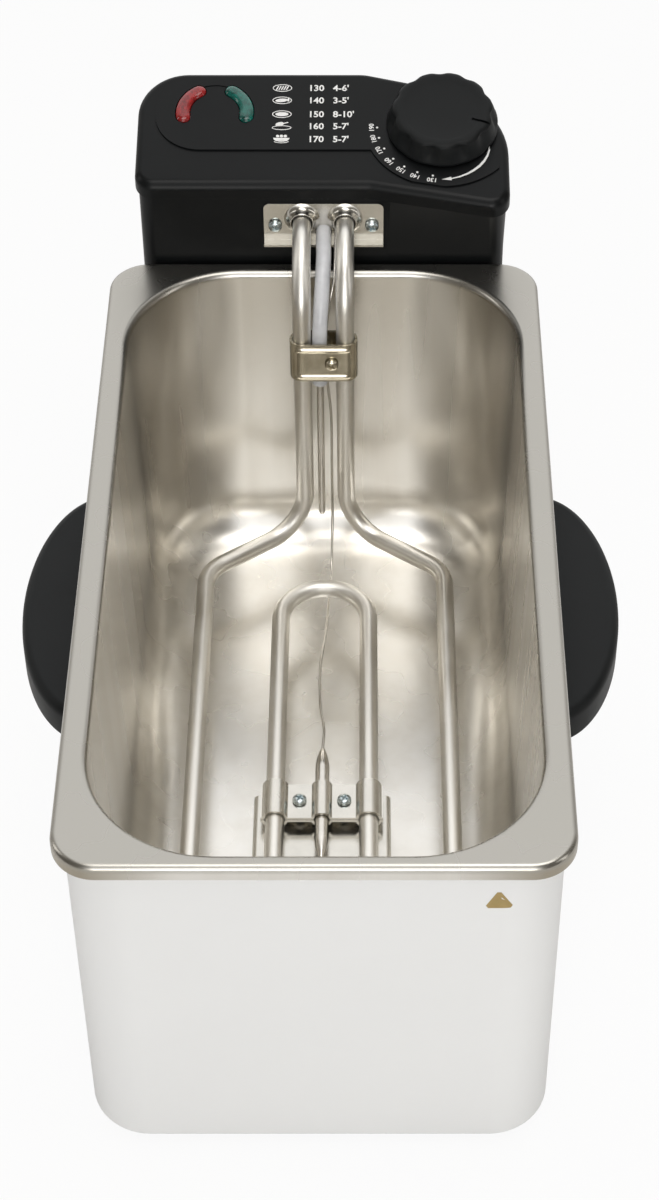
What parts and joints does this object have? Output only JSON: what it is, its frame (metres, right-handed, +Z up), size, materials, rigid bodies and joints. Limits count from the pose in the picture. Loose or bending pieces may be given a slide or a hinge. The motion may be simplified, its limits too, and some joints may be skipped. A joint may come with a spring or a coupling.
{
  "type": "deep fryer",
  "caption": "Compact electric deep fryer: white housing, lift-out steel pot, and a lift-off black control head carrying the hanging heating element, thermostat knob and lamps.",
  "frame": {"origin": "on the table, under the middle of the fryer's overall box", "axes": "+X to the user's right, +Y to the back, towards the control head, +Z up"},
  "size_m": [0.2436, 0.411, 0.2406],
  "materials": {
    "white_paint": "white semi-gloss stoved paint on sheet steel",
    "stainless": "satin stainless steel with a fine vertical grain",
    "heater_steel": "satin grey-brown stainless tube",
    "bright_steel": "bright nickel-plated pressed steel",
    "zinc": "bright zinc-plated screws",
    "black_plastic": "black satin moulded plastic",
    "grip_plastic": "charcoal matte moulded plastic",
    "dark_plastic": "black matte moulded plastic",
    "rubber": "black rubber",
    "red_lens": "translucent red lens",
    "green_lens": "translucent green lens",
    "silicone": "milky translucent silicone",
    "board": "brown phenolic",
    "ceramic": "cream ceramic or glass",
    "red_plastic": "red moulded plastic"
  },
  "bodies": {
    "housing": {"base_plate": "dark_plastic", "base_screw_1": "zinc", "base_screw_2": "zinc", "base_screw_3": "zinc", "base_screw_4": "zinc", "foot_1": "rubber", "foot_2": "rubber", "foot_3": "rubber", "foot_4": "rubber", "guide_rail_left": "bright_steel", "guide_rail_right": "bright_steel", "handle_left": "grip_plastic", "handle_right": "grip_plastic", "handle_screw_left_1": "zinc", "handle_screw_left_2": "zinc", "handle_screw_right_1": "zinc", "handle_screw_right_2": "zinc", "housing_shell": "white_paint", "rail_screw_left": "zinc", "rail_screw_right": "zinc", "striker_bracket": "bright_steel"},
    "pot": {"inner_pot": "stainless"},
    "head": {"bracket_screw_left": "zinc", "bracket_screw_right": "zinc", "bulb_clamp_bottom": "bright_steel", "bulb_clamp_screw_1": "zinc", "bulb_clamp_screw_2": "zinc", "bulb_clamp_top": "bright_steel", "cord_gland": "rubber", "cover_screw_1": "zinc", "cover_screw_2": "zinc", "element_bracket": "bright_steel", "element_support": "bright_steel", "head_case": "black_plastic", "head_cover": "black_plastic", "heating_element": "heater_steel", "lamp_board": "board", "lamp_board_screw_1": "zinc", "lamp_board_screw_2": "zinc", "lamp_green": "ceramic", "lamp_red": "ceramic", "lens_green": "green_lens", "lens_red": "red_lens", "limiter_probe": "bright_steel", "neck_clamp_back": "bright_steel", "neck_clamp_front": "bright_steel", "neck_clamp_screw": "zinc", "safety_switch": "dark_plastic", "sensor_sleeve": "silicone", "terminal_block": "ceramic", "thermal_cutout": "board", "thermostat_body": "bright_steel", "thermostat_bulb": "stainless", "thermostat_capillary": "bright_steel", "thermostat_screw_1": "zinc", "thermostat_screw_2": "zinc"},
    "knob": {"knob": "grip_plastic", "thermostat_shaft": "bright_steel"},
    "reset_button": {"reset_button": "red_plastic"},
    "interlock_plunger": {"interlock_plunger": "red_plastic"}
  },
  "joints": [
    {"name": "pot_lift", "type": "slide", "parent": "housing", "child": "pot", "axis": [0, 0, 1], "range_m": [0, 0.2]},
    {"name": "head_lift", "type": "slide", "parent": "pot", "child": "head", "axis": [0, 0, 1], "range_m": [0, 0.2]},
    {"name": "knob_turn", "type": "hinge", "parent": "head", "child": "knob", "pos_m": [0.052, 0.17141, 0.22524], "axis": [0, -0.2419, 0.9703], "range_deg": [-156, 0]},
    {"name": "reset_press", "type": "slide", "parent": "head", "child": "reset_button", "axis": [0, -1, 0], "range_m": [0, 0.0015], "stiffness_N_per_m": 300},
    {"name": "plunger_travel", "type": "slide", "parent": "head", "child": "interlock_plunger", "axis": [0, 0, -1], "range_m": [0, 0.002]}
  ],
  "couplings": [
    {"joint": "plunger_travel", "follows": "head_lift", "ratio": 0.01}
  ]
}
